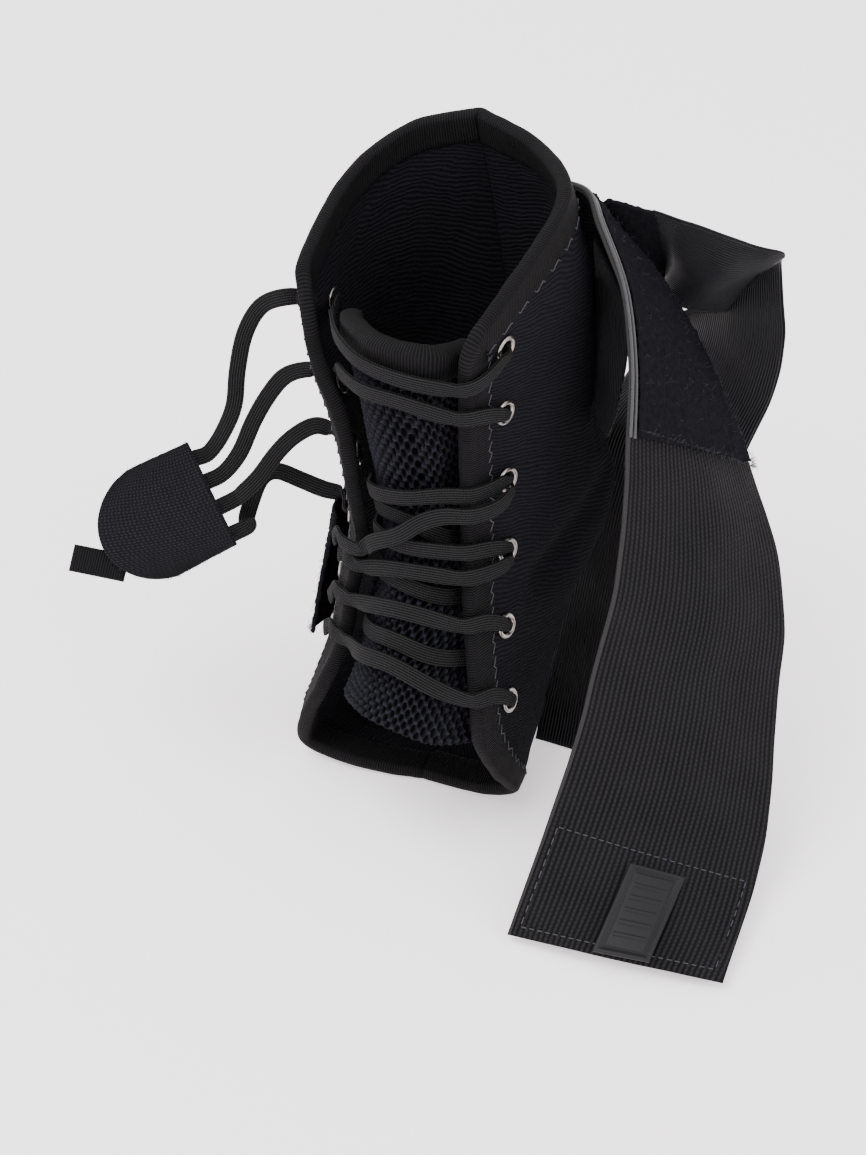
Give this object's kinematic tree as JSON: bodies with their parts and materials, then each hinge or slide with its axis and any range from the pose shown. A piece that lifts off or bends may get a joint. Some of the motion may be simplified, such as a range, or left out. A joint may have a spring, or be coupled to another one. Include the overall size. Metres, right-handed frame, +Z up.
{
  "type": "ankle brace",
  "caption": "Lace-up fabric ankle brace in its worn form, with a padded tongue, a wide cuff strap hanging open, folded stabilising straps and a pull tab on the laces.",
  "frame": {"origin": "on the plane the foot would stand on, under the middle of the ankle opening", "axes": "+X towards the side the cuff strap hangs on, -Y towards the open front where the foot comes out, +Z up along the leg"},
  "size_m": [0.2373, 0.1784, 0.2132],
  "materials": {
    "velour": "matt napped velour over foam",
    "spacer_mesh": "open knitted mesh over foam",
    "edge_tape": "woven binding tape with a zigzag stitch",
    "lace": "flat braided polyester",
    "elastic": "ribbed elastic webbing",
    "pile": "brushed loop pile",
    "ribbed_nylon": "smooth nylon with lengthwise ribs",
    "hook_cloth": "woven hook cloth",
    "eyelet": "nickel plated, satin",
    "badge": "moulded, matt"
  },
  "bodies": {
    "root": {"eyelet_strap_side_1": "eyelet", "eyelet_strap_side_2": "eyelet", "eyelet_strap_side_3": "eyelet", "eyelet_strap_side_4": "eyelet", "eyelet_strap_side_5": "eyelet", "eyelet_strap_side_6": "eyelet", "shell_strap_side": "velour", "eyelet_tab_side_1": "eyelet", "eyelet_tab_side_2": "eyelet", "eyelet_tab_side_3": "eyelet", "eyelet_tab_side_4": "eyelet", "eyelet_tab_side_5": "eyelet", "eyelet_tab_side_6": "eyelet", "shell_tab_side": "velour", "binding_strap_side": "edge_tape", "binding_tab_side": "edge_tape", "tongue": "spacer_mesh", "tongue_binding": "edge_tape", "lace_over_1": "lace", "lace_over_2": "lace", "lace_over_3": "lace", "lace_over_4": "lace", "lace_over_5": "lace", "lace_over_6": "lace", "lace_over_7": "lace", "lace_over_8": "lace", "lace_under_1": "lace", "lace_under_2": "lace", "lace_under_3": "lace", "pull_tab": "hook_cloth", "pull_tab_ribbon": "edge_tape", "lace_tail_1": "lace", "lace_tail_2": "lace", "lace_tail_3": "lace", "lace_tail_4": "lace", "landing_patch": "pile", "cuff_strap": "elastic", "cuff_pile_patch": "pile", "cuff_hook_patch": "hook_cloth", "badge": "badge", "stabiliser_strap_a": "ribbed_nylon", "stabiliser_hook_a": "hook_cloth", "stabiliser_strap_b": "ribbed_nylon"}
  },
  "joints": []
}
